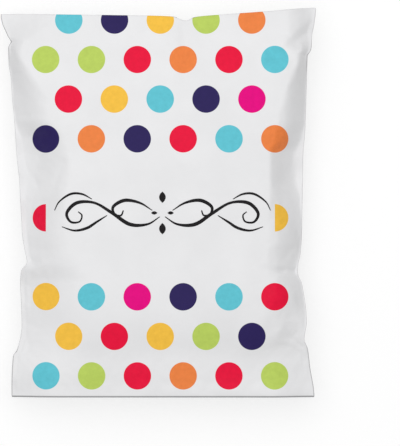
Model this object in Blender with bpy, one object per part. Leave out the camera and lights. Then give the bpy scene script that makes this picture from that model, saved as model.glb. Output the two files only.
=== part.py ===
"""A poly mailer, softly filled, its flap folded over the back and glued, lying with its printed face up.

Both faces, the welded side seams, the bottom fold and the flap are one folded sheet of film around the
contents, so the bag is one closed solid. Sizes are in metres, apart from the creases, which are in
millimetres. +X runs to the right of the printed face and +Y from the bottom fold to the top fold. The
origin lies under the middle of the bag, on the surface that the bag rests on.
"""

import math

import bmesh
import bpy

# The filled bag's outline, seen from above
WIDTH = 0.2523  # along the top fold, from ear tip to ear tip
LENGTH = 0.3113  # from the bottom fold to the right end of the top fold
LEFT_DROP = 0.0049  # how much lower the top fold's left end lies
BOTTOM_LEFT_IN = 0.0090  # how far the bottom fold's left end lies in from the top fold's
BOTTOM_RIGHT_IN = 0.0013  # the same at the right

# Heights above the surface that it lies on
THICKNESS = 0.0477  # at the crown of the printed face
CROWN = 0.0035  # how much the middle of the printed face stands above its rim
FACE_WAVE = 0.00022  # slow waves of the film over the contents
SEAM_HEIGHT = 0.0205  # of the side welds and folds, nearly halfway up the bag
SEAM_THICKNESS = 0.0008  # both films together where they are welded
SEAM_WAVE = 0.0006  # how far the seams wander up and down
SIDE_LIFT = 0.002  # how much higher the side seams lie between their ends
BOTTOM_LIFT = 0.014  # how much higher the folds lie in their middles
TOP_LIFT = 0.013
LIFT_REACH = 0.060  # how far in from the folds that is felt
EAR_DROOP = 0.005  # how far the corners sink below the seam's height
EAR_REACH = 0.055  # how far from a corner its film starts to sink

# The flap, folded over the top and glued to the back
FLAP_DEPTH = 0.038
FLAP_STEP = 0.0007  # film and glue, standing off the back
FLAP_CLEAR = 0.016  # how far below the flap's edge the flat of the back starts

# Walls of the back, from the seam in to the flat that the bag rests on
BACK_SIDE_WALL = 0.037
BACK_BOTTOM_WALL = 0.052
BACK_WELD = 0.003  # flat strip of film along the side seams
BACK_WAVE = 0.0005  # slow waves of the film on those walls

# Walls of the printed face at the two folds
FRONT_BOTTOM_WALL = 0.090
FRONT_TOP_WALL = 0.068
FOLD_STRIP = 0.001  # flat strip of film along the folds

# The side seams. Each point is its distance from the end of the bag and how far the seam is drawn in
# there from the straight line between the ears. Where points lie close together the seam is pinched or
# steps.
LEFT_FROM_BOTTOM = (
    (0.0, 0.0),
    (0.034, 0.0022),
    (0.0365, 0.0048),
    (0.058, 0.0098),
    (0.076, 0.0098),
    (0.089, 0.0094),
    (0.102, 0.0108),
    (0.107, 0.0157),
    (0.118, 0.0138),
    (0.134, 0.0120),
)
LEFT_FROM_TOP = (
    (0.0, 0.0),
    (0.0074, 0.0010),
    (0.0124, 0.0030),
    (0.0205, 0.0068),
    (0.0224, 0.0083),
    (0.026, 0.0056),
    (0.042, 0.0055),
    (0.049, 0.0067),
    (0.066, 0.0073),
    (0.085, 0.0086),
    (0.116, 0.0098),
    (0.136, 0.0113),
)
RIGHT_FROM_BOTTOM = (
    (0.0, 0.0),
    (0.024, 0.0035),
    (0.0395, 0.0056),
    (0.046, 0.0084),
    (0.0606, 0.0065),
    (0.0904, 0.0102),
    (0.0995, 0.0138),
    (0.107, 0.0133),
    (0.115, 0.0115),
    (0.134, 0.0104),
)
RIGHT_FROM_TOP = (
    (0.0, 0.0),
    (0.0133, 0.0014),
    (0.0233, 0.0032),
    (0.0316, 0.0034),
    (0.0353, 0.0044),
    (0.0383, 0.0067),
    (0.053, 0.0070),
    (0.075, 0.0075),
    (0.096, 0.0081),
    (0.121, 0.0098),
)
MIDDLE_GAP = 0.010  # the least that the lists from the two ends stop short of the middle

# The top fold: the share of the way across, from the left, and how far it dips below a straight line
TOP_FOLD = (
    (0.0, 0.0),
    (0.20, 0.0018),
    (0.35, 0.0030),
    (0.55, 0.0051),
    (0.59, 0.0092),
    (0.61, 0.0060),
    (0.70, 0.0043),
    (0.86, 0.0022),
    (1.0, 0.0),
)
DIP_REACH = 0.030  # how far down the faces the top fold's dip is felt

# Walls of the printed face beside the side seams, by their height up the bag: where the wall starts in
# from the seam, how wide it is, how much it starts with a foot, and how crisp its upper edge is
LEFT_WALL = (
    (0.0, 0.004, 0.066, 0.5, 0.0),
    (0.050, 0.003, 0.062, 0.3, 0.0),
    (0.092, 0.003, 0.056, 0.3, 0.0),
    (0.107, 0.003, 0.042, 0.2, 0.0),
    (0.120, 0.003, 0.037, 0.3, 0.0),
    (0.138, 0.004, 0.034, 0.5, 0.2),
    (0.158, 0.004, 0.033, 0.8, 0.4),
    (0.182, 0.006, 0.037, 0.8, 0.4),
    (0.205, 0.005, 0.036, 0.7, 0.3),
    (0.222, 0.001, 0.031, 0.2, 0.3),
    (0.238, 0.001, 0.029, 0.2, 0.5),
    (0.250, 0.001, 0.024, 0.2, 0.4),
    (0.262, 0.001, 0.017, 0.2, 0.3),
    (0.274, 0.001, 0.011, 0.1, 0.2),
    (0.283, 0.001, 0.018, 0.0, 0.0),
    (0.294, 0.003, 0.032, 0.2, 0.0),
    (0.3064, 0.004, 0.044, 0.4, 0.0),
)
RIGHT_WALL = (
    (0.0, 0.006, 0.066, 0.8, 0.0),
    (0.018, 0.008, 0.060, 0.8, 0.0),
    (0.030, 0.009, 0.050, 0.8, 0.0),
    (0.038, 0.009, 0.036, 0.8, 0.1),
    (0.046, 0.009, 0.022, 0.8, 0.2),
    (0.054, 0.006, 0.015, 0.8, 0.2),
    (0.062, 0.002, 0.011, 0.5, 0.2),
    (0.070, 0.001, 0.011, 0.3, 0.2),
    (0.080, 0.001, 0.015, 0.3, 0.2),
    (0.0995, 0.001, 0.025, 0.2, 0.5),
    (0.112, 0.001, 0.025, 0.3, 0.8),
    (0.124, 0.000, 0.027, 0.1, 0.9),
    (0.144, 0.001, 0.026, 0.3, 0.9),
    (0.163, 0.003, 0.023, 0.7, 0.9),
    (0.175, 0.005, 0.021, 0.9, 0.9),
    (0.196, 0.005, 0.022, 0.9, 0.8),
    (0.206, 0.004, 0.020, 0.7, 0.6),
    (0.222, 0.003, 0.018, 0.5, 0.4),
    (0.234, 0.002, 0.017, 0.4, 0.3),
    (0.246, 0.002, 0.014, 0.3, 0.3),
    (0.258, 0.001, 0.011, 0.2, 0.3),
    (0.267, 0.001, 0.009, 0.1, 0.2),
    (0.274, 0.001, 0.014, 0.0, 0.0),
    (0.284, 0.002, 0.026, 0.1, 0.0),
    (0.296, 0.003, 0.040, 0.3, 0.0),
    (0.3113, 0.004, 0.052, 0.5, 0.0),
)

# Where the seams are pinched: the side, the height up the bag, how far the seam lifts, and the reach
PINCHES = (
    ("left", 0.2838, 0.0065, 0.013),
    ("left", 0.107, 0.0045, 0.011),
    ("right", 0.2715, 0.0060, 0.014),
    ("right", 0.0995, 0.0045, 0.011),
    ("right", 0.046, 0.0030, 0.010),
    ("left", 0.0345, 0.0015, 0.009),
)
PINCH_FADE = 0.014  # how far in from a seam its pinches are felt in the wall

# Creases and ridges of the printed face, in millimetres. Each runs between two points (x from the middle
# of the top fold, y up from the bottom fold) and has a depth, below 0 for a ridge, and half widths to the
# left and the right of that run.
CREASES = (
    (124, 295, 101, 277, 5.5, 4.0, 6.5),  # top right ear
    (119, 277, 112, 262, 2.6, 3.0, 3.5),
    (111, 308, 102, 290, -3.5, 7.0, 7.0),
    (121, 308, 119, 300, 1.6, 1.8, 1.8),
    (100, 192, 100, 110, 0.6, 4.0, 4.0),
    (113, 101, 98, 101, 4.6, 2.4, 3.4),  # at the right pinch
    (100, 101, 88, 102, 3.6, 2.6, 3.6),
    (114, 116, 109, 148, 1.8, 2.0, 2.0),
    (107, 114, 103, 107, -1.6, 2.6, 2.6),
    (118, 37.5, 104, 49, 6.0, 1.8, 2.6),  # lower right
    (107, 70, 103, 60, -1.2, 3.6, 3.6),
    (110.5, 57, 115, 45, -1.6, 3.5, 4.0),
    (-118, 284.5, -100, 285.5, -1.2, 4.0, 3.0),  # at the top left pinch
    (-119, 281, -114, 266, 3.0, 2.6, 2.6),
    (-121, 303, -103, 290, -2.4, 5.0, 5.0),
    (-110, 304, -117, 291, 0.9, 3.0, 3.0),
    (-108, 306, -92, 292, 0.7, 3.0, 4.0),
    (22, 300, 20, 276, 1.1, 4.0, 5.0),  # below the top fold's notch
    (-76, 187, -90, 145, 1.4, 4.0, 4.0),
    (-93, 198, -99, 172, 1.2, 4.0, 4.0),
    (-99, 176, -93, 158, 1.4, 3.0, 3.0),
    (-109, 131, -103.5, 109, 3.6, 2.6, 2.6),  # at the left pinch
    (-103, 107, -90, 109, 0.9, 3.0, 3.0),
    (-110, 60, -99, 56, 0.7, 2.6, 2.6),
    (-113, 36, -96, 44, 0.5, 3.0, 3.0),
)
CREASE_FADE = 0.75  # the share of its depth that a crease loses by its inner end
CREASE_SPREAD = 0.5  # the share by which it widens
CREASE_ONSET = 0.35  # the power of the film's rise by which creases deepen away from the seams

# The polka dots printed on the face, in staggered rows of six and five
DOT_RADIUS = 0.0110
DOT_SPACING = 0.0367  # from dot to dot along a row
PRINT_SHIFT = 0.0016  # how far the print's middle lies right of the top fold's
FIRST_ROW_UP = 0.0166  # from the bottom fold to the lowest row's centres
FIRST_ROW_DOWN = 0.0094  # from the top fold's right end to the highest row's centres
LOWER_ROWS = ("sky lime red orange red lime", "gold red gold lime navy", "gold sky magenta navy sky red")
UPPER_ROWS = (
    "sky navy gold lime orange",
    "lime lime red orange red sky",
    "red gold sky navy magenta",
    "navy orange navy red sky orange",
)
HALF_DOTS = "red white white white white gold"  # the row between them, of which only the outer halves show
INKS = {
    "sky": (0.125, 0.546, 0.638, 1),
    "navy": (0.033, 0.024, 0.107, 1),
    "gold": (0.880, 0.515, 0.069, 1),
    "lime": (0.479, 0.624, 0.127, 1),
    "orange": (0.823, 0.231, 0.069, 1),
    "red": (0.791, 0.013, 0.054, 1),
    "magenta": (0.783, 0.001, 0.219, 1),
    "white": (0.81, 0.81, 0.82, 1),
}
FILM_ROUGHNESS = 0.38

# Fineness of the mesh
WALL_COLUMNS = 12  # close columns beside each side seam
WALL_REACH = 0.045  # how far in they run
COLUMN_GROWTH = 1.3  # the power by which they spread
FLAT_COLUMNS = 13  # the columns between them
ROW_SPACING = 0.0056
LEAST_ROW_GAP = 0.0012


def clipped(value):
    return min(max(value, 0.0), 1.0)


def smooth_step(value):
    value = clipped(value)
    return value * value * (3 - 2 * value)


def along(points, place, column=1):
    """A smooth curve's value at a place, through points that hold it in the given column."""
    if place <= points[0][0]:
        return points[0][column]
    if place >= points[-1][0]:
        return points[-1][column]

    def secant(i):
        return (points[i + 1][column] - points[i][column]) / (points[i + 1][0] - points[i][0])

    def slope(i):
        if i == 0 or i == len(points) - 1:
            return 0.0
        before, after = secant(i - 1), secant(i)
        return 0.0 if before * after <= 0 else 2 * before * after / (before + after)

    last = next(i for i in range(1, len(points)) if points[i][0] >= place)
    first = last - 1
    span = points[last][0] - points[first][0]
    t = (place - points[first][0]) / span
    start = (2 * t - 3) * t * t + 1
    value = points[first][column] * start + points[last][column] * (1 - start)
    return value + span * t * (1 - t) * ((1 - t) * slope(first) - t * slope(last))


def top_fold(x, down=0.0):
    """The top fold's height at x above the bottom fold, or that of a line further down the face."""
    share = clipped(x / WIDTH + 0.5)
    felt = max(0, 1 - down / DIP_REACH)
    return LENGTH - LEFT_DROP * (1 - share) - down - felt * along(TOP_FOLD, share)


def drawn_in(from_bottom, from_top, length, y):
    """How far a seam is drawn in at a height, blended where neither of its two lists reaches."""
    below = min(from_bottom[-1][0], length / 2 - MIDDLE_GAP)
    above = max(length - from_top[-1][0], length / 2 + MIDDLE_GAP)
    share = smooth_step((y - below) / (above - below))
    lower = along(from_bottom, min(y, below))
    return lower * (1 - share) + along(from_top, length - max(y, above)) * share


def left_seam(y):
    """Where the left seam lies at a height."""
    length = LENGTH - LEFT_DROP
    line = -WIDTH / 2 + BOTTOM_LEFT_IN * (1 - y / length)
    return line + drawn_in(LEFT_FROM_BOTTOM, LEFT_FROM_TOP, length, y)


def right_seam(y):
    """The same for the right seam."""
    line = WIDTH / 2 - BOTTOM_RIGHT_IN * (1 - y / LENGTH)
    return line - drawn_in(RIGHT_FROM_BOTTOM, RIGHT_FROM_TOP, LENGTH, y)


EARS = (  # the tips of the four corners
    (-WIDTH / 2, LENGTH - LEFT_DROP),
    (WIDTH / 2, LENGTH),
    (-WIDTH / 2 + BOTTOM_LEFT_IN, 0.0),
    (WIDTH / 2 - BOTTOM_RIGHT_IN, 0.0),
)


def from_side(x, y, seam, inward):
    """The distance in from a side seam, in which the seam's pinches fade out."""
    plain = inward * (x - seam(y))
    eased = sum(seam(y + step * PINCH_FADE / 3.5) for step in range(-3, 4)) / 7
    return plain + (inward * (x - eased) - plain) * smooth_step(plain / PINCH_FADE)


def crease_depth(x, y):
    """How far the creases press the printed face in at a point."""
    depth = 0.0
    for from_x, from_y, to_x, to_y, deep, left_half, right_half in CREASES:
        ax, ay = from_x / 1000, from_y / 1000
        run_x, run_y = to_x / 1000 - ax, to_y / 1000 - ay
        share = clipped(((x - ax) * run_x + (y - ay) * run_y) / (run_x * run_x + run_y * run_y))
        away = math.hypot(x - ax - run_x * share, y - ay - run_y * share)
        on_left = run_x * (y - ay) - run_y * (x - ax) > 0
        half_width = (left_half if on_left else right_half) / 1000 * (1 + CREASE_SPREAD * share)
        depth += deep / 1000 * (1 - CREASE_FADE * smooth_step(share)) / (1 + (away / half_width) ** 2) ** 2
    return depth


def seam_height(x, y):
    """The height of the seam beside a point: it sinks towards the ear tips and lifts between them."""
    sink = 0.0
    for ear_x, ear_y in EARS:
        sink = max(sink, EAR_DROOP * smooth_step(1 - math.hypot(x - ear_x, y - ear_y) / EAR_REACH))
    lift = SEAM_WAVE * (math.sin(y * 128 + x * 6) + 0.7 * math.sin(y * 233 - x * 9 + 2))
    middle = smooth_step(2.4 * (1 - abs(2 * x / WIDTH)))
    near_bottom = smooth_step(1 - y / LIFT_REACH)
    near_top = smooth_step(1 - (top_fold(x) - y) / LIFT_REACH)
    lift += middle * (BOTTOM_LIFT * near_bottom + TOP_LIFT * near_top)
    lift += SIDE_LIFT * (1 - near_bottom) * (1 - near_top)
    for side, pinch_y, height, reach in PINCHES:
        pinch_x = left_seam(pinch_y) if side == "left" else right_seam(pinch_y)
        away = math.hypot((x - pinch_x) / 1.6, y - pinch_y) / reach
        lift += height * math.exp(-away * away)
    return SEAM_HEIGHT - sink + lift


def pillow(distance, start, width):
    """The share of its full height that film has reached: steep at the seam, easing in to the flat."""
    left = 1 - clipped((distance - start) / width)
    return 1 - left**3 * (1 + 1.2 * (1 - left))


def wall_rise(distance, wall, y):
    """The same for a wall that may start with a foot and end in a crisp edge."""
    start, width, foot, crisp = (along(wall, y, column) for column in (1, 2, 3, 4))
    t = clipped((distance - start) / width)
    footed = smooth_step(t) * (1 - crisp) + t * t * (2 - t) * crisp
    return pillow(distance, start, width) * (1 - foot) + footed * foot


def front_height(x, y):
    """The printed face's height at a point."""
    top = top_fold(x)
    full = wall_rise(from_side(x, y, left_seam, 1), LEFT_WALL, y)
    full *= wall_rise(from_side(x, y, right_seam, -1), RIGHT_WALL, y)
    full *= pillow(y, FOLD_STRIP, FRONT_BOTTOM_WALL) * pillow(top - y, FOLD_STRIP, FRONT_TOP_WALL)
    across, up = 2 * x / WIDTH, 2 * y / top - 1
    wave = math.sin(x * 61 + y * 23 + 1) + math.sin(y * 47 - x * 29) + 0.6 * math.sin(x * 97 - y * 71 + 2)
    level = THICKNESS - CROWN * (1 - (1 - across * across) * (1 - up * up)) + FACE_WAVE * wave
    seam = seam_height(x, y) + SEAM_THICKNESS / 2
    return seam + (level - seam) * full - crease_depth(x, y) * full**CREASE_ONSET


def back_height(x, y, under_flap):
    """The back's height at a point, lower by the flap's film where the flap covers it."""
    full = pillow(x - left_seam(y), BACK_WELD, BACK_SIDE_WALL)
    full *= pillow(right_seam(y) - x, BACK_WELD, BACK_SIDE_WALL)
    full *= pillow(y, FOLD_STRIP, BACK_BOTTOM_WALL)
    full *= pillow(top_fold(x) - y, FOLD_STRIP, FLAP_DEPTH + FLAP_CLEAR)
    seam = seam_height(x, y) - SEAM_THICKNESS / 2
    wave = math.sin(x * 83 + y * 31) + math.sin(y * 67 - x * 41 + 1)
    return (seam + BACK_WAVE * wave * 4 * full) * (1 - full) - (FLAP_STEP if under_flap else 0)


def spread_rows(places):
    """Distances from one end, with rows put in where they lie too far apart."""
    rows = []
    for place in sorted(places):
        if rows and place - rows[-1] < LEAST_ROW_GAP and place != FLAP_DEPTH:
            continue
        if rows:
            start = rows[-1]
            steps = math.ceil((place - start) / ROW_SPACING)
            rows += [start + (place - start) * i / steps for i in range(1, steps)]
        rows.append(place)
    return rows


def row_places():
    """Each row of the mesh as its place: (up from the bottom fold, down from the top fold, share)."""
    half = (LENGTH - LEFT_DROP) / 2 - MIDDLE_GAP
    lower = spread_rows({p[0] for p in LEFT_FROM_BOTTOM + RIGHT_FROM_BOTTOM if p[0] < half})
    upper = spread_rows({p[0] for p in LEFT_FROM_TOP + RIGHT_FROM_TOP if p[0] < half} | {FLAP_DEPTH})
    upper = sorted(upper + [FLAP_DEPTH + FLAP_STEP], reverse=True)
    steps = math.ceil((LENGTH - LEFT_DROP - lower[-1] - upper[0]) / ROW_SPACING)
    rows = [(up, 0, 0) for up in lower]
    rows += [(lower[-1], upper[0], i / steps) for i in range(1, steps)]
    return rows + [(0, down, 1) for down in upper]


def row_height(row, x):
    """Where a row lies at x, above the bottom fold."""
    up, down, share = row
    return up * (1 - share) + top_fold(x, down) * share


def column_place(column, left, right):
    """Where a column lies between the seams: close beside them, wide apart over the flat."""
    from_right = 2 * WALL_COLUMNS + FLAT_COLUMNS - column
    if column <= WALL_COLUMNS:
        return left + WALL_REACH * (column / WALL_COLUMNS) ** COLUMN_GROWTH
    if from_right <= WALL_COLUMNS:
        return right - WALL_REACH * (from_right / WALL_COLUMNS) ** COLUMN_GROWTH
    share = (column - WALL_COLUMNS) / FLAT_COLUMNS
    return left + WALL_REACH + (right - left - 2 * WALL_REACH) * share


def add_face(mesh, rows, back):
    """One face of the bag, as a grid that is drawn to the outline and raised to its height."""
    columns = 2 * WALL_COLUMNS + FLAT_COLUMNS
    made = bmesh.ops.create_grid(mesh, x_segments=columns, y_segments=len(rows) - 1, size=0.5)
    verts = sorted(made["verts"], key=lambda v: (round(v.co.y, 5), v.co.x))
    for number, vert in enumerate(verts):
        j, i = divmod(number, columns + 1)
        x = (i / columns - 0.5) * WIDTH
        for _ in range(4):
            y = row_height(rows[j], x)
            x = column_place(i, left_seam(y), right_seam(y))
        _, down, share = rows[j]
        under_flap = share == 1 and down <= FLAP_DEPTH
        vert.co = (x, y, back_height(x, y, under_flap) if back else front_height(x, y))


def bag_mesh():
    """Both faces of the bag joined along the seams and folds, and how far they moved to the origin."""
    mesh = bmesh.new()
    rows = row_places()
    add_face(mesh, rows, back=False)
    add_face(mesh, rows, back=True)
    bmesh.ops.bridge_loops(mesh, edges=[edge for edge in mesh.edges if edge.is_boundary])
    bmesh.ops.recalc_face_normals(mesh, faces=mesh.faces)
    xs, ys = [v.co.x for v in mesh.verts], [v.co.y for v in mesh.verts]
    moved = (-(min(xs) + max(xs)) / 2, -(min(ys) + max(ys)) / 2, 0)
    bmesh.ops.translate(mesh, verts=mesh.verts, vec=moved)
    data = bpy.data.meshes.new("mailer_bag")
    mesh.to_mesh(data)
    mesh.free()
    data.shade_smooth()
    return data, moved


class PrintNodes:
    """The nodes of the printed film, built by small steps on sockets and numbers."""

    def __init__(self, tree):
        self.tree = tree

    def math(self, operation, *values):
        node = self.tree.nodes.new("ShaderNodeMath")
        node.operation = operation
        for socket, value in zip(node.inputs, values):
            if isinstance(value, (int, float)):
                socket.default_value = value
            else:
                self.tree.links.new(value, socket)
        return node.outputs[0]

    def separate(self, vector):
        node = self.tree.nodes.new("ShaderNodeSeparateXYZ")
        self.tree.links.new(vector, node.inputs[0])
        return node.outputs

    def both(self, *masks):
        mask = masks[0]
        for other in masks[1:]:
            mask = self.math("MULTIPLY", mask, other)
        return mask

    def ink(self, share, inks):
        """The ink of a row at a share of its length."""
        ramp = self.tree.nodes.new("ShaderNodeValToRGB")
        ramp.color_ramp.interpolation = "CONSTANT"
        ramp.color_ramp.elements.remove(ramp.color_ramp.elements[1])
        ramp.color_ramp.elements[0].color = INKS[inks[0]]
        for i, ink in enumerate(inks[1:], 1):
            ramp.color_ramp.elements.new(i / len(inks)).color = INKS[ink]
        self.tree.links.new(share, ramp.inputs[0])
        return ramp.outputs[0]

    def over(self, mask, below, above):
        node = self.tree.nodes.new("ShaderNodeMix")
        node.data_type = "RGBA"
        self.tree.links.new(mask, node.inputs[0])
        if isinstance(below, tuple):
            node.inputs[6].default_value = below
        else:
            self.tree.links.new(below, node.inputs[6])
        self.tree.links.new(above, node.inputs[7])
        return node.outputs[2]


def dot_rows(middle_x, middle_y):
    """Every row of the print: its height, its first dot's place, its inks, and if only halves show."""
    row_step = DOT_SPACING * math.sqrt(3) / 2
    lower = [FIRST_ROW_UP + i * row_step for i in range(len(LOWER_ROWS))]
    upper = [LENGTH - FIRST_ROW_DOWN - i * row_step for i in range(len(UPPER_ROWS))]
    between = (lower[-1] + upper[-1]) / 2
    heights = lower + upper + [between]
    for height, inks in zip(heights, LOWER_ROWS + UPPER_ROWS + (HALF_DOTS,)):
        inks = inks.split()
        first = middle_x + PRINT_SHIFT - (len(inks) - 1) / 2 * DOT_SPACING
        yield height + middle_y, first, inks, height == between


def print_material(moved):
    """White film with rows of coloured dots on the face that looks up."""
    material = bpy.data.materials.new("printed_film")
    material.use_nodes = True
    tree = material.node_tree
    nodes = PrintNodes(tree)
    x, y, z = nodes.separate(tree.nodes.new("ShaderNodeTexCoord").outputs["Object"])
    normal = nodes.separate(tree.nodes.new("ShaderNodeNewGeometry").outputs["Normal"])
    on_face = nodes.math("GREATER_THAN", normal[2], 0)
    colour = INKS["white"]
    for height, first, inks, halves in dot_rows(moved[0], moved[1]):
        steps = nodes.math("DIVIDE", nodes.math("SUBTRACT", x, first), DOT_SPACING)
        number = nodes.math("ROUND", steps)
        across = nodes.math("MULTIPLY", nodes.math("SUBTRACT", steps, number), DOT_SPACING)
        up = nodes.math("SUBTRACT", y, height)
        squares = nodes.math("ADD", nodes.math("MULTIPLY", across, across), nodes.math("MULTIPLY", up, up))
        dot = nodes.both(
            on_face,
            nodes.math("LESS_THAN", squares, DOT_RADIUS**2),
            nodes.math("GREATER_THAN", number, -0.5),
            nodes.math("LESS_THAN", number, len(inks) - 0.5),
        )
        if halves:
            off_middle = nodes.math("ABSOLUTE", nodes.math("SUBTRACT", steps, (len(inks) - 1) / 2))
            dot = nodes.both(dot, nodes.math("GREATER_THAN", off_middle, (len(inks) - 1) / 2))
        share = nodes.math("DIVIDE", nodes.math("ADD", number, 0.5), len(inks))
        colour = nodes.over(dot, colour, nodes.ink(share, inks))
    shader = tree.nodes["Principled BSDF"]
    shader.inputs["Roughness"].default_value = FILM_ROUGHNESS
    tree.links.new(colour, shader.inputs["Base Color"])
    return material


for old in list(bpy.data.objects):
    bpy.data.objects.remove(old)

bag_data, bag_moved = bag_mesh()
bag_data.materials.append(print_material(bag_moved))
bag = bpy.data.objects.new("mailer_bag", bag_data)
bpy.context.scene.collection.objects.link(bag)
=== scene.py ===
import math

import bmesh
import bpy
import numpy as np
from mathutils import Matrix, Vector
from mathutils.bvhtree import BVHTree


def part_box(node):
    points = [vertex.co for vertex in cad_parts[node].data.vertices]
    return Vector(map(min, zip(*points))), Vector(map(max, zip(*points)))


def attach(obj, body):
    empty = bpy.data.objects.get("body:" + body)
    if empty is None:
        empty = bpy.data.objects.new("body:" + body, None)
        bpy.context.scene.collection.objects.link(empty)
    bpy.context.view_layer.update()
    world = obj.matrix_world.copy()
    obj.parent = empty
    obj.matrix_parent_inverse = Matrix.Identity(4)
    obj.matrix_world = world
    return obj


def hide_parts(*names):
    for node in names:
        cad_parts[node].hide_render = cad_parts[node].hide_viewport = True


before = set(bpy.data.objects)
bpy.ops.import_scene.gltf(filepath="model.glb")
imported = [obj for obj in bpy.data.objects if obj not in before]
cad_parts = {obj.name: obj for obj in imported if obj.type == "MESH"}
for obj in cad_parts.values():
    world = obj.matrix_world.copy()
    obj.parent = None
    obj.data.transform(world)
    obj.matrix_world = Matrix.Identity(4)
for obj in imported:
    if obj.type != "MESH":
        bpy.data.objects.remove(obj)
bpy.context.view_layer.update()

bagLow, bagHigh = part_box("mailer_bag")
print("frame loaded, bag", [round(v * 1000, 1) for v in bagHigh - bagLow], "mm")

# the bag's form in metres: x from the middle of the top fold, y up from the bottom fold
bag = {
    "width": 0.2523,
    "length": 0.3113,
    "leftDrop": 0.0049,  # how much lower the top fold's left end lies
    "bottomLeftIn": 0.0090,
    "bottomRightIn": 0.0013,
    "thickness": 0.0478,
    "crown": 0.0035,
    "seamHeight": 0.0205,
    "seamThickness": 0.0006,
    "seamWave": 0.0006,  # how far the seams wander up and down
    "sideLift": 0.002,  # how much higher the side seams lie than the ears' ends of them
    "bottomLift": 0.014,  # how much higher the folds lie in their middles
    "topLift": 0.013,
    "bottomSpread": (2.8, 3.2),  # how near to the left and right ears the folds' middles reach
    "topSpread": (2.8, 5.0),
    "liftReach": 0.060,
    "earReach": 0.055,
    "flapDepth": 0.038,
    "flapStep": 0.0007,
    "flapClear": 0.016,
    "backSideWall": 0.037,
    "backBottomWall": 0.052,
    "frontBottomWall": 0.090,
    "frontTopWall": 0.068,
    "middleGap": 0.010,
    "dipReach": 0.030,
    "creaseOnset": 0.35,
    "faceWave": 0.00022,  # slow waves of the film over the filling
    "backWave": 0.0005,
}

# the side seams: distance from the end, and how far the seam is drawn in there
leftFromBottom = (
    (0.0, 0.0),
    (0.034, 0.0022),
    (0.0365, 0.0048),
    (0.058, 0.0098),
    (0.076, 0.0098),
    (0.089, 0.0094),
    (0.102, 0.0108),
    (0.107, 0.0157),
    (0.118, 0.0138),
    (0.134, 0.0120),
)
leftFromTop = (
    (0.0, 0.0),
    (0.0074, 0.0010),
    (0.0124, 0.0030),
    (0.0205, 0.0068),
    (0.0224, 0.0083),
    (0.026, 0.0056),
    (0.042, 0.0055),
    (0.049, 0.0067),
    (0.066, 0.0073),
    (0.085, 0.0086),
    (0.116, 0.0098),
    (0.136, 0.0113),
)
rightFromBottom = (
    (0.0, 0.0),
    (0.024, 0.0035),
    (0.0395, 0.0056),
    (0.046, 0.0084),
    (0.0606, 0.0065),
    (0.0904, 0.0102),
    (0.0995, 0.0138),
    (0.107, 0.0133),
    (0.115, 0.0115),
    (0.134, 0.0104),
)
rightFromTop = (
    (0.0, 0.0),
    (0.0133, 0.0014),
    (0.0233, 0.0032),
    (0.0316, 0.0034),
    (0.0353, 0.0044),
    (0.0383, 0.0067),
    (0.053, 0.0070),
    (0.075, 0.0075),
    (0.096, 0.0081),
    (0.121, 0.0098),
)
# the top fold: share of the way across, and how far it dips
topFoldDip = (
    (0.0, 0.0),
    (0.20, 0.0018),
    (0.35, 0.0030),
    (0.55, 0.0051),
    (0.59, 0.0092),
    (0.61, 0.0060),
    (0.70, 0.0043),
    (0.86, 0.0022),
    (1.0, 0.0),
)
# walls of the printed face beside the seams, by height up the bag: where the wall starts in from the
# seam, how wide it is, how much it starts with a foot, and how crisp its upper edge is
leftWall = (
    (0.0, 0.004, 0.066, 0.5, 0.0),
    (0.050, 0.003, 0.062, 0.3, 0.0),
    (0.092, 0.003, 0.056, 0.3, 0.0),
    (0.107, 0.003, 0.042, 0.2, 0.0),
    (0.120, 0.003, 0.037, 0.3, 0.0),
    (0.138, 0.004, 0.034, 0.5, 0.2),
    (0.158, 0.004, 0.033, 0.8, 0.4),
    (0.182, 0.006, 0.037, 0.8, 0.4),
    (0.205, 0.005, 0.036, 0.7, 0.3),
    (0.222, 0.001, 0.031, 0.2, 0.3),
    (0.238, 0.001, 0.029, 0.2, 0.5),
    (0.250, 0.001, 0.024, 0.2, 0.4),
    (0.262, 0.001, 0.017, 0.2, 0.3),
    (0.274, 0.001, 0.011, 0.1, 0.2),
    (0.283, 0.001, 0.018, 0.0, 0.0),
    (0.294, 0.003, 0.032, 0.2, 0.0),
    (0.3064, 0.004, 0.044, 0.4, 0.0),
)
rightWall = (
    (0.0, 0.006, 0.070, 0.8, 0.0),
    (0.018, 0.006, 0.064, 0.8, 0.0),
    (0.030, 0.005, 0.059, 0.7, 0.0),
    (0.038, 0.003, 0.055, 0.5, 0.0),
    (0.046, 0.001, 0.051, 0.3, 0.0),
    (0.054, 0.001, 0.047, 0.2, 0.0),
    (0.062, 0.001, 0.040, 0.1, 0.0),
    (0.070, 0.001, 0.034, 0.1, 0.0),
    (0.080, 0.001, 0.028, 0.1, 0.1),
    (0.090, 0.001, 0.025, 0.2, 0.3),
    (0.0995, 0.001, 0.025, 0.2, 0.5),
    (0.112, 0.001, 0.025, 0.3, 0.8),
    (0.124, 0.000, 0.027, 0.1, 0.9),
    (0.144, 0.001, 0.026, 0.3, 0.9),
    (0.163, 0.003, 0.023, 0.7, 0.9),
    (0.175, 0.005, 0.021, 0.9, 0.9),
    (0.196, 0.005, 0.022, 0.9, 0.8),
    (0.206, 0.003, 0.021, 0.6, 0.6),
    (0.222, 0.001, 0.021, 0.3, 0.4),
    (0.234, 0.001, 0.020, 0.2, 0.2),
    (0.246, 0.001, 0.018, 0.1, 0.1),
    (0.258, 0.001, 0.014, 0.0, 0.0),
    (0.267, 0.001, 0.011, 0.0, 0.0),
    (0.274, 0.001, 0.013, 0.0, 0.0),
    (0.284, 0.002, 0.026, 0.1, 0.0),
    (0.296, 0.003, 0.040, 0.3, 0.0),
    (0.3113, 0.004, 0.052, 0.5, 0.0),
)
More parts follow.
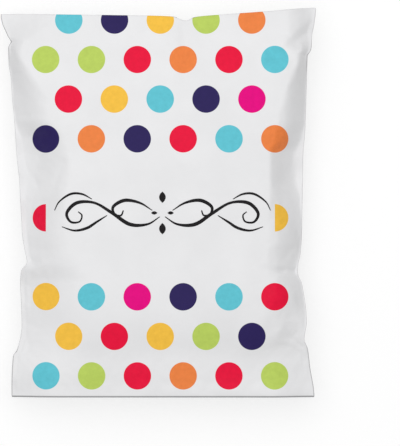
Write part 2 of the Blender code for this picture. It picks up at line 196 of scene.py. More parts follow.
# where the seams are pinched: side, height up the bag, how far the seam lifts, reach along it
pinches = (
    ("left", 0.2838, 0.0065, 0.013),
    ("left", 0.107, 0.0045, 0.011),
    ("right", 0.2715, 0.0060, 0.014),
    ("right", 0.0995, 0.0045, 0.011),
    ("right", 0.046, 0.0030, 0.010),
    ("right", 0.060, 0.0075, 0.024),
    ("left", 0.0345, 0.0015, 0.009),
)
# folds and ridges of the printed face in mm: from, to, depth (a ridge is below 0), and half widths
# to the left and right of that run
folds = (
    (122, 302.5, 94, 279, -3.6, 4.0, 10.0),  # top right ear
    (103, 275, 98, 244, -3.2, 9.0, 24.0),
    (100, 192, 100, 110, 0.6, 4.0, 4.0),
    (-118, 284.5, -100, 285.5, -1.2, 4.0, 3.0),  # at the top left pinch
    (-121, 303, -103, 290, -2.4, 5.0, 5.0),
    (-108, 306, -92, 292, 0.7, 3.0, 4.0),
    (22, 300, 20, 276, 1.1, 4.0, 5.0),  # below the top fold's notch
    (-76, 187, -90, 145, 1.4, 4.0, 4.0),
    (-93, 198, -99, 172, 1.2, 4.0, 4.0),
    (-103, 107, -90, 109, 0.9, 3.0, 3.0),
    (-110, 60, -99, 56, 0.7, 2.6, 2.6),
    (-113, 36, -96, 44, 0.5, 3.0, 3.0),
)
# the sharper ones, laid on the finished film
creases = (
    (126, 297.5, 91, 268, 3.8, 7.0, 4.0),  # top right ear
    (118, 311, 117, 301, 0.9, 1.5, 1.5),
    (119.5, 278, 115.5, 270, 2.6, 2.0, 2.0),
    (115, 279, 112.5, 254, -3.0, 2.4, 5.0),
    (113, 101, 98, 101, 4.2, 2.2, 3.2),  # at the right pinch
    (100, 101, 88, 102, 3.0, 2.4, 3.6),
    (114, 116, 109, 148, 1.4, 2.0, 2.0),
    (107, 114, 103, 107, -1.2, 2.4, 2.4),
    (118.5, 38, 105, 48, 3.6, 1.6, 2.4),  # lower right
    (110, 51, 97, 40, 1.6, 6.0, 3.6),
    (98, 55, 88, 42, -2.3, 7.0, 7.0),
    (108, 82, 113.5, 60, -1.6, 2.6, 7.0),
    (-119, 281, -114, 266, 3.0, 2.4, 2.4),  # at the top left pinch
    (-110, 304, -117, 291, 0.9, 2.6, 2.6),
    (-99, 176, -93, 158, 1.2, 2.6, 2.6),
    (-109, 131, -103.5, 109, 3.2, 2.4, 2.4),  # at the left pinch
)
leftLength = bag["length"] - bag["leftDrop"]
# the bag's corners, and how far each sinks below the seams
ears = (
    (-bag["width"] / 2, leftLength, 0.001),
    (bag["width"] / 2, bag["length"], -0.006),
    (-bag["width"] / 2 + bag["bottomLeftIn"], 0.0, -0.001),
    (bag["width"] / 2 - bag["bottomRightIn"], 0.0, -0.005),
)
# where the film's cut edge shows its dark inner layer, and for how far; the last, at the right pinch, is painted
# shade in the pinch's fold
darkEdges = (
    (-0.1262, 0.3064, 0.036),
    (-0.1172, 0.0, 0.036),
    (0.1249, 0.0, 0.036),
    (0.1190, 0.2715, 0.006),
)


def curveThrough(points, place, column=1):
    # a smooth curve through the points that never overshoots them
    at = np.array([p[0] for p in points])
    value = np.array([p[column] for p in points])
    secant = np.diff(value) / np.diff(at)
    before, after = secant[:-1], secant[1:]
    same = before * after > 0
    slope = np.zeros(len(at))
    slope[1:-1][same] = 2 * before[same] * after[same] / (before[same] + after[same])
    i = np.clip(np.searchsorted(at, place) - 1, 0, len(at) - 2)
    span = at[i + 1] - at[i]
    t = np.clip((place - at[i]) / span, 0, 1)
    start = (2 * t - 3) * t * t + 1
    bend = (1 - t) * slope[i] - t * slope[i + 1]
    return value[i] * start + value[i + 1] * (1 - start) + span * t * (1 - t) * bend


def smoothStep(t):
    t = np.clip(t, 0, 1)
    return t * t * (3 - 2 * t)


def topFold(x, down=0.0):
    # height of the top fold at x above the bottom fold, or of a line further down the face
    share = np.clip(x / bag["width"] + 0.5, 0, 1)
    felt = np.maximum(0, 1 - down / bag["dipReach"])
    return bag["length"] - bag["leftDrop"] * (1 - share) - down - felt * curveThrough(topFoldDip, share)


def drawnIn(fromBottom, fromTop, length, y):
    below = min(fromBottom[-1][0], length / 2 - bag["middleGap"])
    above = max(length - fromTop[-1][0], length / 2 + bag["middleGap"])
    share = smoothStep((y - below) / (above - below))
    lower = curveThrough(fromBottom, np.minimum(y, below))
    return lower * (1 - share) + curveThrough(fromTop, length - np.maximum(y, above)) * share


def leftSeam(y):
    line = -bag["width"] / 2 + bag["bottomLeftIn"] * (1 - y / leftLength)
    return line + drawnIn(leftFromBottom, leftFromTop, leftLength, y)


def rightSeam(y):
    line = bag["width"] / 2 - bag["bottomRightIn"] * (1 - y / bag["length"])
    return line - drawnIn(rightFromBottom, rightFromTop, bag["length"], y)


def fromSide(x, y, side):
    # distance in from a side seam, in which the seam's pinches fade out
    seam, sign = (leftSeam, 1) if side == "left" else (rightSeam, -1)
    plain = sign * (x - seam(y))
    eased = sum(seam(y + step) for step in (-0.012, -0.008, -0.004, 0.0, 0.004, 0.008, 0.012)) / 7
    return plain + (sign * (x - eased) - plain) * smoothStep(plain / 0.014)


def foldDepth(x, y, runs):
    depth = np.zeros_like(x)
    for fromX, fromY, toX, toY, deep, leftHalf, rightHalf in runs:
        ax, ay = fromX / 1000, fromY / 1000
        runX, runY = toX / 1000 - ax, toY / 1000 - ay
        share = np.clip(((x - ax) * runX + (y - ay) * runY) / (runX**2 + runY**2), 0, 1)
        away = np.hypot(x - ax - runX * share, y - ay - runY * share)
        aside = (runX * (y - ay) - runY * (x - ax)) / math.hypot(runX, runY) / np.maximum(away, 1e-9)
        halfWidth = (leftHalf + rightHalf + (leftHalf - rightHalf) * aside) / 2000 * (1 + 0.5 * share)
        depth += deep / 1000 * (1 - 0.75 * smoothStep(share)) / (1 + (away / halfWidth) ** 2) ** 2
    return depth


def middleShare(x, leftSpread, rightSpread):
    # 1 along the middle of a fold, down to 0 at the ears
    return smoothStep(np.where(x < 0, leftSpread, rightSpread) * (1 - np.abs(2 * x / bag["width"])))


def seamHeight(x, y):
    sink = np.zeros_like(x)
    for earX, earY, droop in ears:
        sink += droop * smoothStep(1 - np.hypot(x - earX, y - earY) / bag["earReach"])
    lift = bag["seamWave"] * (np.sin(y * 128 + x * 6) + 0.7 * np.sin(y * 233 - x * 9 + 2))
    nearBottom = smoothStep(1 - y / bag["liftReach"])
    nearTop = smoothStep(1 - (topFold(x) - y) / bag["liftReach"])
    lift = lift + bag["bottomLift"] * nearBottom * middleShare(x, *bag["bottomSpread"])
    lift = lift + bag["topLift"] * nearTop * middleShare(x, *bag["topSpread"])
    lift = lift + bag["sideLift"] * (1 - nearBottom) * (1 - nearTop)
    for side, pinchY, height, reach in pinches:
        seam = leftSeam if side == "left" else rightSeam
        away = np.hypot((x - seam(np.array(pinchY))) / 1.6, y - pinchY) / reach
        lift = lift + height * np.exp(-(away**2))
    return bag["seamHeight"] - sink + lift


def pillow(distance, start, width):
    # the share of its full height that the film has reached: steep at the seam, easing in to the flat
    left = 1 - np.clip((distance - start) / width, 0, 1)
    return 1 - left**3 * (1 + 1.2 * (1 - left))


def wallRise(distance, wall, y):
    start, width, foot, crisp = (curveThrough(wall, y, column) for column in (1, 2, 3, 4))
    t = np.clip((distance - start) / width, 0, 1)
    footed = smoothStep(t) * (1 - crisp) + t * t * (2 - t) * crisp
    return pillow(distance, start, width) * (1 - foot) + footed * foot


def frontRise(x, y):
    # the share of its full height that the printed face has reached
    sides = wallRise(fromSide(x, y, "left"), leftWall, y) * wallRise(fromSide(x, y, "right"), rightWall, y)
    return sides * pillow(y, 0.001, bag["frontBottomWall"]) * pillow(topFold(x) - y, 0.001, bag["frontTopWall"])


def frontHeight(x, y):
    full = frontRise(x, y)
    across, up = 2 * x / bag["width"], 2 * y / topFold(x) - 1
    wave = np.sin(x * 61 + y * 23 + 1) + np.sin(y * 47 - x * 29) + 0.6 * np.sin(x * 97 - y * 71 + 2)
    level = bag["thickness"] - bag["crown"] * (1 - (1 - across**2) * (1 - up**2)) + bag["faceWave"] * wave
    seam = seamHeight(x, y) + bag["seamThickness"] / 2
    return seam + (level - seam) * full - foldDepth(x, y, folds) * full ** bag["creaseOnset"]


def creaseDepth(x, y):
    return foldDepth(x, y, creases) * frontRise(x, y) ** bag["creaseOnset"]


def backHeight(x, y, underFlap):
    full = pillow(x - leftSeam(y), 0.003, bag["backSideWall"])
    full = full * pillow(rightSeam(y) - x, 0.003, bag["backSideWall"])
    full = full * pillow(y, 0.001, bag["backBottomWall"])
    full = full * pillow(topFold(x) - y, 0.001, bag["flapDepth"] + bag["flapClear"])
    seam = seamHeight(x, y) - bag["seamThickness"] / 2
    wave = np.sin(x * 83 + y * 31) + np.sin(y * 67 - x * 41 + 1)
    flap = np.where(underFlap, bag["flapStep"], 0)
    return (seam + bag["backWave"] * wave * 4 * full) * (1 - full) - flap


# the film's mesh
film = {
    "wallColumns": 21,
    "wallReach": 0.045,
    "columnGrowth": 1.3,
    "flatColumns": 42,
    "rowSpacing": 0.0030,
    "leastRowGap": 0.0010,
    "subdivision": 1,
    "printSpread": 1.0064,  # the print was measured from above, nearer the camera than the outline
}


def spreadRows(places):
    rows = []
    for place in sorted(places):
        if rows and place - rows[-1] < film["leastRowGap"] and place != bag["flapDepth"]:
            continue
        if rows:
            start = rows[-1]
            steps = math.ceil((place - start) / film["rowSpacing"])
            rows += [start + (place - start) * i / steps for i in range(1, steps)]
        rows.append(place)
    return rows


def rowPlaces():
    # each row as its distance up from the bottom fold, down from the top fold, and its share between
    half = leftLength / 2 - bag["middleGap"]
    lower = spreadRows({p[0] for p in leftFromBottom + rightFromBottom if p[0] < half})
    upper = spreadRows({p[0] for p in leftFromTop + rightFromTop if p[0] < half} | {bag["flapDepth"]})
    upper = sorted(upper + [bag["flapDepth"] + bag["flapStep"]], reverse=True)
    steps = math.ceil((leftLength - lower[-1] - upper[0]) / film["rowSpacing"])
    rows = [(up, 0, 0) for up in lower]
    rows += [(lower[-1], upper[0], i / steps) for i in range(1, steps)]
    return rows + [(0, down, 1) for down in upper]


def gridPlaces(rows):
    # x and y of every vertex of a face, row by row
    walls = film["wallColumns"]
    columns = 2 * walls + film["flatColumns"]
    i = np.arange(columns + 1)
    up, down, share = (np.array(v, dtype=float)[:, None] for v in zip(*rows))
    x = (i / columns - 0.5)[None, :] * bag["width"] * np.ones_like(up)
    near = film["wallReach"] * (np.minimum(i, walls) / walls) ** film["columnGrowth"]
    flat = np.clip((i - walls) / film["flatColumns"], 0, 1)
    for _ in range(4):
        y = up * (1 - share) + topFold(x, down) * share
        left, right = leftSeam(y), rightSeam(y)
        x = left + near + (right - left - 2 * film["wallReach"]) * flat
        x = np.where(i[None, :] > columns - walls, right - near[::-1], x)
    return x, up * (1 - share) + topFold(x, down) * share


def addFace(mesh, rows, back):
    # one face of the bag, as a grid that is drawn to the outline and raised
    x, y = gridPlaces(rows)
    underFlap = np.array([s == 1 and d <= bag["flapDepth"] for _, d, s in rows])[:, None]
    z = backHeight(x, y, underFlap) if back else frontHeight(x, y)
    made = bmesh.ops.create_grid(mesh, x_segments=x.shape[1] - 1, y_segments=x.shape[0] - 1, size=0.5)
    verts = sorted(made["verts"], key=lambda v: (round(v.co.y, 5), v.co.x))
    for vert, place in zip(verts, zip(x.ravel(), y.ravel(), z.ravel())):
        vert.co = place


def newPiece(name, mesh, *finishes):
    data = bpy.data.meshes.new(name)
    mesh.to_mesh(data)
    mesh.free()
    for finish in finishes:
        data.materials.append(finish)
    data.shade_smooth()
    piece = bpy.data.objects.new(name, data)
    bpy.context.scene.collection.objects.link(piece)
    return piece


def bagMesh():
    mesh = bmesh.new()
    rows = rowPlaces()
    addFace(mesh, rows, back=False)
    addFace(mesh, rows, back=True)
    rims = bmesh.ops.bridge_loops(mesh, edges=[e for e in mesh.edges if e.is_boundary])["faces"]
    bmesh.ops.recalc_face_normals(mesh, faces=mesh.faces)
    rims = set(rims)
    for face in mesh.faces:  # 0 is printed film, 1 plain film, 2 the cut edge
        middle = face.calc_center_median()
        x = np.array(middle.x)
        if face in rims and 1e-4 < middle.y < topFold(x) - 1e-4:
            face.material_index = 2
        else:
            face.material_index = 0 if face.normal.z > 0.1 or middle.y > topFold(x, bag["flapDepth"]) else 1
    bmesh.ops.translate(mesh, verts=mesh.verts, vec=(0, bagLow.y, 0))
    return mesh


def vertexPlaces(data):
    co = np.empty(len(data.vertices) * 3)
    data.vertices.foreach_get("co", co)
    return co.reshape(-1, 3)


def setPlaces(data, places):
    data.vertices.foreach_set("co", np.ascontiguousarray(places).ravel())
    data.update()


# how the film settles as cloth
settle = {
    "frames": 25,
    "spare": 0.006,  # how much longer the film is than the form it lies on
    "tension": 30,
    "bending": 0.5,
    "holdFlat": 0.95,  # how firmly the filling holds the film
    "holdWall": 0.25,
    "pinStiffness": 1.0,
    "mostMove": 0.0025,
}


def settleFilm(piece):
    start = vertexPlaces(piece.data)
    x, y = start[:, 0], start[:, 1] - bagLow.y
    edge = np.minimum(np.minimum(x - leftSeam(y), rightSeam(y) - x), np.minimum(y, topFold(x) - y))
    held = settle["holdWall"] + (settle["holdFlat"] - settle["holdWall"]) * smoothStep((edge - 0.010) / 0.06)
    held[edge < 0.0006] = 1.0
    group = piece.vertex_groups.new(name="held")
    for i, weight in enumerate(held):
        group.add([i], float(weight), "REPLACE")
    cloth = piece.modifiers.new("film", "CLOTH")
    cloth.settings.quality = 6
    cloth.settings.mass = 0.08
    cloth.settings.tension_stiffness = cloth.settings.compression_stiffness = settle["tension"]
    cloth.settings.shear_stiffness = settle["tension"] * 0.6
    cloth.settings.bending_stiffness = settle["bending"]
    cloth.settings.air_damping = 2.0
    cloth.settings.vertex_group_mass = "held"
    cloth.settings.pin_stiffness = settle["pinStiffness"]
    cloth.settings.shrink_min = -settle["spare"]
    cloth.settings.effector_weights.gravity = 0
    cloth.collision_settings.use_collision = False
    cloth.point_cache.frame_end = settle["frames"]
    for f in range(1, settle["frames"] + 1):
        bpy.context.scene.frame_set(f)
    moved = vertexPlaces(piece.evaluated_get(bpy.context.evaluated_depsgraph_get()).data) - start
    piece.modifiers.remove(cloth)
    piece.vertex_groups.clear()
    bpy.context.scene.frame_set(1)
    far = np.linalg.norm(moved, axis=1, keepdims=True)
    moved *= np.minimum(1, settle["mostMove"] / np.maximum(far, 1e-9))
    places = start + moved
    places[:, 2] = np.maximum(places[:, 2], 0.0)
    setPlaces(piece.data, places)
    print("film settled, moved up to", round(float(far.max()) * 1000, 2), "mm")


def finishMesh(piece):
    # subdivision, then the print's coordinates and the distances from the seams and ears
    smooth = piece.modifiers.new("smooth", "SUBSURF")
    smooth.levels = smooth.render_levels = film["subdivision"]
    data = bpy.data.meshes.new_from_object(piece.evaluated_get(bpy.context.evaluated_depsgraph_get()))
    piece.modifiers.clear()
    piece.data = data
    places = vertexPlaces(data)
    places[:, 2] = np.maximum(places[:, 2], 0.0)
    x, y = places[:, 0], places[:, 1] - bagLow.y
    onFace = smoothStep((places[:, 2] - seamHeight(x, y)) / 0.0006)
    places[:, 2] -= onFace * creaseDepth(x, np.maximum(y, 0))
    setPlaces(data, places)
    corner = np.empty(len(data.loops), dtype=int)
    data.loops.foreach_get("vertex_index", corner)
    normal = np.empty(len(data.polygons) * 3)
    data.polygons.foreach_get("normal", normal)
    sides = np.empty(len(data.polygons), dtype=int)
    data.polygons.foreach_get("loop_total", sides)
    below = np.repeat(normal[2::3] < 0, sides)
    x, y = places[corner, 0], places[corner, 1] - bagLow.y
    middle = np.array([view["centreX"], view["centreY"] - bagLow.y])
    uv = np.column_stack([x, np.where(below, 2 * topFold(x) - y, y)])
    uv = middle + (uv - middle) * film["printSpread"]
    data.uv_layers.new(name="print").data.foreach_set("uv", uv.ravel())
    x, y = places[:, 0], places[:, 1] - bagLow.y
    seam = np.minimum(x - leftSeam(y), rightSeam(y) - x)
    tip = np.min([np.hypot(x - atX, y - atY) - reach for atX, atY, reach in darkEdges], axis=0)
    data.attributes.new("fromSeam", "FLOAT", "POINT").data.foreach_set("value", seam)
    data.attributes.new("fromTip", "FLOAT", "POINT").data.foreach_set("value", tip)
    print("film finished,", int((sides - 2).sum()), "triangles")


# what the camera sees: millimetres to a pixel, and the place at the picture's middle
view = {
    "lens": 400,
    "mmPerPixel": 0.8,
    "centreX": 0.03345,
    "centreY": -0.01645,
    "plane": 0.0205,
}

# the print: polka dots in staggered rows of six and five
printing = {
    "dotRadius": 0.0110,
    "dotSpacing": 0.0367,
    "shift": 0.0016,  # how far the print's middle lies right of the top fold's
    "firstRowUp": 0.0166,
    "firstRowDown": 0.0094,  # from the top fold's right end
    "lowerRows": ("sky lime red orange red lime", "gold red gold lime navy", "gold sky magenta navy sky red"),
    "upperRows": (
        "sky navy gold lime orange",
        "lime lime red orange red sky",
        "red gold sky navy magenta",
        "navy orange navy red sky orange",
    ),
    "flapRows": ("red sky magenta gold navy lime",),  # carried on over the top fold
    "halfDots": "red white white white white gold",
    "softEdge": 0.00012,
}
inks = {
    "sky": (0.124, 0.552, 0.649, 1),
    "navy": (0.028, 0.019, 0.102, 1),
    "gold": (0.915, 0.536, 0.065, 1),
    "lime": (0.492, 0.640, 0.125, 1),
    "orange": (0.853, 0.235, 0.064, 1),
    "red": (0.819, 0.009, 0.050, 1),
    "magenta": (0.795, 0.001, 0.221, 1),
    "white": (0.81, 0.81, 0.82, 1),
    "black": (0.013, 0.012, 0.013, 1),
}
finishes = {
    "roughness": 0.36,
    "roughnessSpread": 0.05,
    "inkGloss": 0.06,  # how much smoother the ink is than the film
    "inkSpecular": 0.06,
    "mottle": 0.018,  # how much the white varies
    "specular": 0.2,
    "bump": 0.10,
    "grain": 0.05,
    # the grey of the cut edge's inner layer, also laid on the film as painted shade along the bottom fold and at the
    # right pinch
    "cutEdge": (0.20, 0.20, 0.205, 1),
    "foldShade": 0.75,  # how dark the painted shade along the bottom fold is
}


def addNode(tree, kind, *values, **settings):
    # a node with its sockets filled in order, as its first output
    node = tree.nodes.new("ShaderNode" + kind)
    for name, value in settings.items():
        setattr(node, name, value)
    for socket, value in zip(node.inputs, values):
        if isinstance(value, bpy.types.NodeSocket):
            tree.links.new(value, socket)
        elif value is not None:
            socket.default_value = value
    return node.outputs[0]


def calculate(tree, operation, *values):
    return addNode(tree, "Math", *values, operation=operation)


def between(tree, value, low, high, outLow=0.0, outHigh=1.0):
    return addNode(tree, "MapRange", value, low, high, outLow, outHigh)


def lay(tree, mask, below, above):
    # one colour over another
    node = tree.nodes.new("ShaderNodeMix")
    node.data_type = "RGBA"
    for socket, value in ((node.inputs[0], mask), (node.inputs[6], below), (node.inputs[7], above)):
        if isinstance(value, bpy.types.NodeSocket):
            tree.links.new(value, socket)
        else:
            socket.default_value = value
    return node.outputs[2]


def noise(tree, place, scale, detail=2.0, rough=0.5):
    node = tree.nodes.new("ShaderNodeTexNoise")
    tree.links.new(place, node.inputs["Vector"])
    node.inputs["Scale"].default_value = scale
    node.inputs["Detail"].default_value = detail
    node.inputs["Roughness"].default_value = rough
    return node.outputs["Fac"]


def inkRamp(tree, share, names):
    ramp = tree.nodes.new("ShaderNodeValToRGB")
    ramp.color_ramp.interpolation = "CONSTANT"
    ramp.color_ramp.elements.remove(ramp.color_ramp.elements[1])
    ramp.color_ramp.elements[0].color = inks[names[0]]
    for i, name in enumerate(names[1:], 1):
        ramp.color_ramp.elements.new(i / len(names)).color = inks[name]
    tree.links.new(share, ramp.inputs[0])
    return ramp.outputs[0]


def dotRows():
    # each row's height up the print, its inks, and whether only its outer halves show
    step = printing["dotSpacing"] * math.sqrt(3) / 2
    lower = [printing["firstRowUp"] + i * step for i in range(len(printing["lowerRows"]))]
    top = bag["length"] - printing["firstRowDown"]
    upper = [top - i * step for i in range(len(printing["upperRows"]))]
    flap = [top + (i + 1) * step for i in range(len(printing["flapRows"]))]
    names = printing["lowerRows"] + printing["upperRows"] + printing["flapRows"]
    rows = [(height, row.split(), False) for height, row in zip(lower + upper + flap, names)]
    return rows + [((lower[-1] + upper[-1]) / 2, printing["halfDots"].split(), True)]


def printDots(tree, white):
    # the colour of the printed film, and where the ink lies
    uv = addNode(tree, "SeparateXYZ", addNode(tree, "UVMap", uv_map="print")).node.outputs
    colour, inked = white, None
    low, high = printing["dotRadius"] + printing["softEdge"], printing["dotRadius"] - printing["softEdge"]
    for height, names, halves in dotRows():
        last = len(names) - 1
        fromFirst = calculate(tree, "SUBTRACT", uv[0], printing["shift"] - last / 2 * printing["dotSpacing"])
        steps = calculate(tree, "DIVIDE", fromFirst, printing["dotSpacing"])
        number = calculate(tree, "ROUND", steps)
        sideways = calculate(tree, "SUBTRACT", steps, number)
        sideways = calculate(tree, "MULTIPLY", sideways, printing["dotSpacing"])
        upwards = calculate(tree, "SUBTRACT", uv[1], height)
        squares = calculate(tree, "MULTIPLY_ADD", sideways, sideways, calculate(tree, "MULTIPLY", upwards, upwards))
        dot = between(tree, calculate(tree, "SQRT", squares), low, high)
        offMiddle = calculate(tree, "ABSOLUTE", calculate(tree, "SUBTRACT", steps, last / 2))
        dot = calculate(tree, "MULTIPLY", dot, calculate(tree, "LESS_THAN", offMiddle, (last + 1) / 2))
        if halves:
            dot = calculate(tree, "MULTIPLY", dot, calculate(tree, "GREATER_THAN", offMiddle, last / 2))
        share = calculate(tree, "DIVIDE", calculate(tree, "ADD", number, 0.5), last + 1)
        colour = lay(tree, dot, colour, inkRamp(tree, share, names))
        inked = dot if inked is None else calculate(tree, "MAXIMUM", inked, dot)
    return colour, inked


def filmFinish(name, printed):
    # white polyethylene film with a satin gloss
    material = bpy.data.materials.new(name)
    material.use_nodes = True
    tree = material.node_tree
    shader = tree.nodes["Principled BSDF"]
    place = tree.nodes.new("ShaderNodeTexCoord").outputs["Object"]
    seam = addNode(tree, "Attribute", attribute_name="fromSeam").node.outputs["Fac"]
    tip = addNode(tree, "Attribute", attribute_name="fromTip").node.outputs["Fac"]

    bright = tuple(c * (1 + finishes["mottle"]) for c in inks["white"][:3]) + (1,)
    dull = tuple(c * (1 - finishes["mottle"]) for c in inks["white"][:3]) + (1,)
    colour = lay(tree, between(tree, noise(tree, place, 28.0, 3.0, 0.55), 0.35, 0.65), dull, bright)
    # a dark line at the ears' cut edges, where the grey inner layer shows, and at the right pinch, where it is
    # painted shade
    atEar = between(tree, tip, 0.0, 0.008, 0.55, 0.0)
    edge = calculate(tree, "MULTIPLY", between(tree, seam, 0.0010, 0.0003), atEar)
    # painted shade along the bottom fold, where the film turns under towards the floor
    fromFold = calculate(tree, "SUBTRACT", addNode(tree, "SeparateXYZ", place).node.outputs[1], bagLow.y)
    edge = calculate(tree, "MAXIMUM", edge, between(tree, fromFold, 0.0016, 0.0010, 0, finishes["foldShade"]))
    colour = lay(tree, edge, colour, finishes["cutEdge"])
    low, high = (finishes["roughness"] + sign * finishes["roughnessSpread"] for sign in (-1, 1))
    rough = between(tree, noise(tree, place, 90.0, 4.0), 0.3, 0.7, low, high)
    if printed:
        colour, inked = printDots(tree, colour)
        blotch = between(tree, noise(tree, place, 260.0, 3.0, 0.6), 0.3, 0.7, 0.95, 1.05)
        colour = lay(tree, inked, colour, addNode(tree, "VectorMath", colour, blotch, operation="MULTIPLY"))
        rough = calculate(tree, "SUBTRACT", rough, calculate(tree, "MULTIPLY", inked, finishes["inkGloss"]))
        shine = between(tree, inked, 0, 1, finishes["specular"], finishes["inkSpecular"])
        tree.links.new(shine, shader.inputs["Specular IOR Level"])
    tree.links.new(colour, shader.inputs["Base Color"])
    tree.links.new(rough, shader.inputs["Roughness"])
    if not printed:
        shader.inputs["Specular IOR Level"].default_value = finishes["specular"]

    alongSeam = addNode(tree, "SeparateXYZ", place).node.outputs[1]
    ribs = calculate(tree, "SINE", calculate(tree, "MULTIPLY", alongSeam, 7000.0))
    weld = calculate(tree, "MULTIPLY", between(tree, seam, 0.0030, 0.0024), between(tree, seam, 0.0006, 0.0012))
    weld = calculate(tree, "MULTIPLY", weld, calculate(tree, "MULTIPLY_ADD", ribs, 0.1, -0.25))
    surface = calculate(tree, "MULTIPLY_ADD", noise(tree, place, 75.0, 5.0, 0.55), 3.0, weld)
    surface = calculate(tree, "MULTIPLY_ADD", noise(tree, place, 2400.0), finishes["grain"], surface)
    bump = tree.nodes.new("ShaderNodeBump")
    bump.inputs["Strength"].default_value = finishes["bump"]
    bump.inputs["Distance"].default_value = 0.001
    tree.links.new(surface, bump.inputs["Height"])
    tree.links.new(bump.outputs[0], shader.inputs["Normal"])
    return material


def plainFinish(name, colour, roughness):
    # cut film and solid ink, with a faint unevenness
    material = bpy.data.materials.new(name)
    material.use_nodes = True
    tree = material.node_tree
    shader = tree.nodes["Principled BSDF"]
    place = tree.nodes.new("ShaderNodeTexCoord").outputs["Object"]
    uneven = between(tree, noise(tree, place, 300.0, 3.0), 0.3, 0.7)
    darker, lighter = (tuple(c * share for c in colour[:3]) + (1,) for share in (0.88, 1.12))
    tree.links.new(lay(tree, uneven, darker, lighter), shader.inputs["Base Color"])
    tree.links.new(between(tree, uneven, 0, 1, roughness - 0.04, roughness + 0.04), shader.inputs["Roughness"])
    shader.inputs["Specular IOR Level"].default_value = finishes["inkSpecular"]
    return material


printedFilm = filmFinish("printedFilm", printed=True)
plainFilm = filmFinish("plainFilm", printed=False)
cutEdge = plainFinish("cutEdge", finishes["cutEdge"], 0.5)
blackInk = plainFinish("blackInk", inks["black"], 0.34)

bagFilm = newPiece("printed_film", bagMesh(), printedFilm, plainFilm, cutEdge)
print("film modelled,", len(bagFilm.data.vertices), "vertices")
settleFilm(bagFilm)
finishMesh(bagFilm)
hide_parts("mailer_bag")
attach(bagFilm, "root")

# a symmetrical scroll between the dots, in mm from its middle: points along each stroke with half widths
scroll = {
    "centre": (0.0036, 0.1472),
    "lift": 0.00007,
    "steps": 10,
    "strokes": (
        ((2, -3, 0.3), (12, -9, 0.9), (26, -9, 1.5), (40, 0, 1.3), (54, 8, 1.0), (68, 8, 1.4), (76, 0, 1.2),
         (73, -7, 0.9), (66, -7, 0.7), (64, -2, 0.6), (67, 1, 0.4)),
        ((8, 2, 0.3), (18, 8, 0.9), (30, 10, 1.4), (39, 5, 1.2), (38, -1, 0.9), (33, -2, 0.7), (31, 2, 0.5)),
        ((44, -2, 0.3), (52, -7, 0.9), (60, -12, 1.1), (70, -14, 0.8), (80, -11, 0.3)),
        ((56, 11, 0.3), (64, 15, 0.8), (73, 15, 0.9), (82, 9, 0.6), (86, 2, 0.3)),
    ),
    "leaves": ((0, 8, 0, 17, 2.6), (0, -8, 0, -17, 2.6), (4, 0, 9, 0, 1.3)),
}


def strokePath(points, steps):
    # a smooth path through the points
    p = np.array(points, dtype=float)
    p = np.vstack([2 * p[0] - p[1], p, 2 * p[-1] - p[-2]])
    path = []
    for a, b, c, d in zip(p[:-3], p[1:-2], p[2:-1], p[3:]):
        for t in np.arange(steps) / steps:
            path.append(b + ((c - a) * t + (2 * a - 5 * b + 4 * c - d) * t**2 + (3 * b - a - 3 * c + d) * t**3) / 2)
    return np.array(path + [p[-2]])


def addStroke(mesh, path, mirrored):
    # one stroke of ink, as a narrow grid drawn along its path
    run = np.gradient(path[:, :2], axis=0)
    run /= np.linalg.norm(run, axis=1, keepdims=True)
    side = np.column_stack([-run[:, 1], run[:, 0]])
    made = bmesh.ops.create_grid(mesh, x_segments=len(path) - 1, y_segments=2, size=0.5)
    verts = sorted(made["verts"], key=lambda v: (round(v.co.y, 5), v.co.x))
    for number, vert in enumerate(verts):
        j, i = divmod(number, len(path))
        x, y = path[i, :2] + side[i] * path[i, 2] * (j - 1)
        vert.co = (scroll["centre"][0] + (-x if mirrored else x) / 1000, scroll["centre"][1] + y / 1000 + bagLow.y, 0)


def layOnFilm(mesh, lift):
    tree = BVHTree.FromObject(bagFilm, bpy.context.evaluated_depsgraph_get())
    for vert in mesh.verts:
        hit, _, _, _ = tree.ray_cast(Vector((vert.co.x, vert.co.y, 0.2)), Vector((0, 0, -1)))
        vert.co.z = hit.z + lift


inkMesh = bmesh.new()
for points in scroll["strokes"]:
    for mirrored in (False, True):
        addStroke(inkMesh, strokePath(points, scroll["steps"]), mirrored)
for fromX, fromY, toX, toY, half in scroll["leaves"]:
    leaf = [(fromX + (toX - fromX) * t, fromY + (toY - fromY) * t, half * max(0, math.sin(math.pi * t)) ** 0.8 + 0.02)
            for t in np.linspace(0, 1, 7)]
    for mirrored in (False, True) if fromX else (False,):
        addStroke(inkMesh, strokePath(leaf, 4), mirrored)
layOnFilm(inkMesh, scroll["lift"])
inkMesh.normal_update()
bmesh.ops.reverse_faces(inkMesh, faces=[face for face in inkMesh.faces if face.normal.z < 0])
inkScroll = newPiece("ink_scroll", inkMesh, blackInk)
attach(inkScroll, "root")
print("scroll printed")

# floor, light and camera
studio = {
    "world": 0.56,
    "keyWatts": 12.4,
    "keyPlace": (-0.14, 0.37, 1.31),
    "keySize": 1.8,
    "floorWhite": 0.65,
    "floorShown": 0.34,
    "floorGlow": 0.68,
}


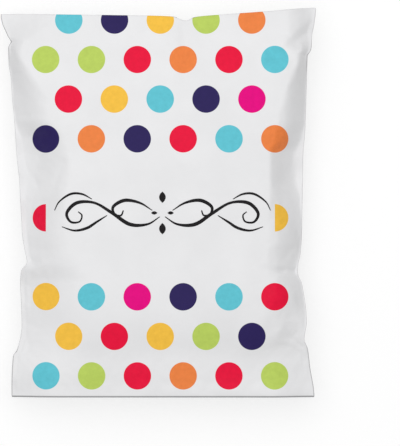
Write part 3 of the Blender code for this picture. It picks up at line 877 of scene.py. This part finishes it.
def addFloor():
    material = bpy.data.materials.new("whiteFloor")
    material.use_nodes = True
    tree = material.node_tree
    tree.nodes.clear()
    path = tree.nodes.new("ShaderNodeLightPath").outputs
    shown = calculate(tree, "MAXIMUM", path["Is Glossy Ray"], path["Is Transmission Ray"])
    shown = calculate(tree, "MAXIMUM", path["Is Camera Ray"], shown)
    white, shade = studio["floorWhite"], studio["floorShown"]
    lit = addNode(tree, "BsdfDiffuse", (white, white, white, 1))
    soft = addNode(tree, "BsdfDiffuse", (shade, shade, shade, 1))
    glow = addNode(tree, "Emission", (1, 1, 1, 1), studio["floorGlow"])
    result = addNode(tree, "MixShader", shown, lit, addNode(tree, "AddShader", soft, glow))
    tree.links.new(result, tree.nodes.new("ShaderNodeOutputMaterial").inputs[0])
    mesh = bmesh.new()
    bmesh.ops.create_grid(mesh, x_segments=1, y_segments=1, size=6)
    bmesh.ops.translate(mesh, verts=mesh.verts, vec=(0, 0, -0.0006))
    newPiece("floor", mesh, material)


def addLight():
    world = bpy.data.worlds.new("studio")
    world.use_nodes = True
    tree = world.node_tree
    path = tree.nodes.new("ShaderNodeLightPath").outputs
    shown = calculate(tree, "MAXIMUM", path["Is Camera Ray"], path["Is Transmission Ray"])
    tree.nodes["Background"].inputs[0].default_value = (1, 1, 1, 1)
    tree.links.new(between(tree, shown, 0, 1, studio["world"], 1.0), tree.nodes["Background"].inputs[1])
    bpy.context.scene.world = world
    key = bpy.data.objects.new("key", bpy.data.lights.new("key", "AREA"))
    key.data.size = studio["keySize"]
    key.data.energy = studio["keyWatts"]
    key.location = studio["keyPlace"]
    key.rotation_euler = (-key.location).to_track_quat("-Z", "Y").to_euler()
    bpy.context.scene.collection.objects.link(key)


def addCamera():
    camera = bpy.data.objects.new("camera", bpy.data.cameras.new("camera"))
    camera.data.lens = view["lens"]
    camera.data.sensor_width = 36
    tall = 446 * view["mmPerPixel"] / 1000
    camera.location = (view["centreX"], view["centreY"], view["plane"] + tall * view["lens"] / 36)
    bpy.context.scene.collection.objects.link(camera)
    bpy.context.scene.camera = camera


addFloor()
addLight()
addCamera()
bpy.context.scene.view_settings.view_transform = "Standard"
print("floor, light and camera set")
